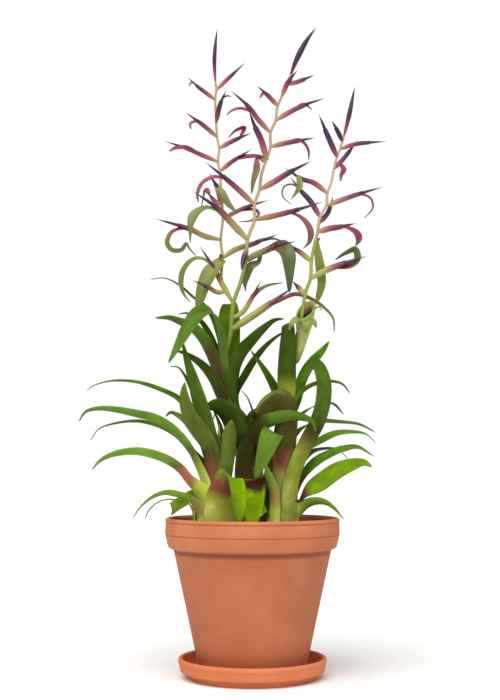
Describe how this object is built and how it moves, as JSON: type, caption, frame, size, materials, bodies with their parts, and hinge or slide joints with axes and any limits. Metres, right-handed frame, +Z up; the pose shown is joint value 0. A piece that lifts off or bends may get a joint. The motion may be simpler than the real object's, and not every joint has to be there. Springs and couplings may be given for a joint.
{
  "type": "potted bromeliad",
  "caption": "Flowering bromeliad clump with arching strap leaves and branched zigzag flower stalks, rooted in a tapered clay pot that stands on a round saucer.",
  "frame": {"origin": "centre of the saucer's flat underside, on the surface that it stands on", "axes": "+Z up, along the pot's axis and the plant's height; -Y is the front, the side that the picture shows; +X is to the right in the picture"},
  "size_m": [0.3025, 0.1857, 0.651],
  "materials": {
    "clay_saucer": "unglazed terracotta, matte",
    "clay_pot": "unglazed terracotta, matte, slightly mottled",
    "potting_soil": "dark crumbly soil",
    "pale_stem": "pale living stem",
    "flower_stalk": "satin living tissue, pale yellow-green to crimson and violet",
    "leaf_lime": "satin living leaf, fresh yellow-green",
    "leaf_green": "satin living leaf, mid green",
    "leaf_olive": "satin living leaf, brown-green",
    "leaf_dark": "satin living leaf, deep shaded green"
  },
  "bodies": {
    "root": {"saucer": "clay_saucer", "pot": "clay_pot", "soil": "potting_soil", "left_shoot_crown": "pale_stem", "middle_flower_stalk": "flower_stalk", "right_flower_stalk": "flower_stalk", "left_leaf_14": "leaf_lime", "left_leaf_12": "leaf_green", "left_leaf_15": "leaf_green", "left_leaf_10": "leaf_green", "left_leaf_11": "leaf_green", "left_leaf_16": "leaf_dark", "left_leaf_07": "leaf_olive", "left_leaf_09": "leaf_green", "left_leaf_08": "leaf_green", "left_leaf_13": "leaf_olive", "left_leaf_04": "leaf_green", "left_leaf_01": "leaf_green", "left_leaf_02": "leaf_green", "left_leaf_03": "leaf_lime", "left_leaf_05": "leaf_lime", "left_leaf_06": "leaf_green", "middle_leaf_13": "leaf_dark", "middle_leaf_14": "leaf_green", "middle_leaf_15": "leaf_green", "middle_leaf_11": "leaf_olive", "middle_leaf_12": "leaf_dark", "middle_leaf_08": "leaf_dark", "middle_leaf_09": "leaf_dark", "middle_leaf_10": "leaf_dark", "middle_leaf_06": "leaf_green", "middle_leaf_07": "leaf_dark", "middle_leaf_16": "leaf_dark", "middle_leaf_02": "leaf_green", "middle_leaf_03": "leaf_green", "middle_leaf_04": "leaf_dark", "middle_leaf_05": "leaf_green", "middle_leaf_01": "leaf_lime", "right_leaf_16": "leaf_green", "right_leaf_17": "leaf_dark", "right_leaf_14": "leaf_green", "right_leaf_15": "leaf_green", "right_leaf_13": "leaf_green", "right_leaf_11": "leaf_olive", "right_leaf_05": "leaf_olive", "right_leaf_09": "leaf_dark", "right_leaf_07": "leaf_green", "right_leaf_08": "leaf_olive", "right_leaf_04": "leaf_lime", "right_leaf_06": "leaf_green", "right_leaf_01": "leaf_green", "right_leaf_02": "leaf_green", "right_leaf_03": "leaf_green", "right_leaf_10": "leaf_dark", "right_leaf_12": "leaf_green"}
  },
  "joints": []
}
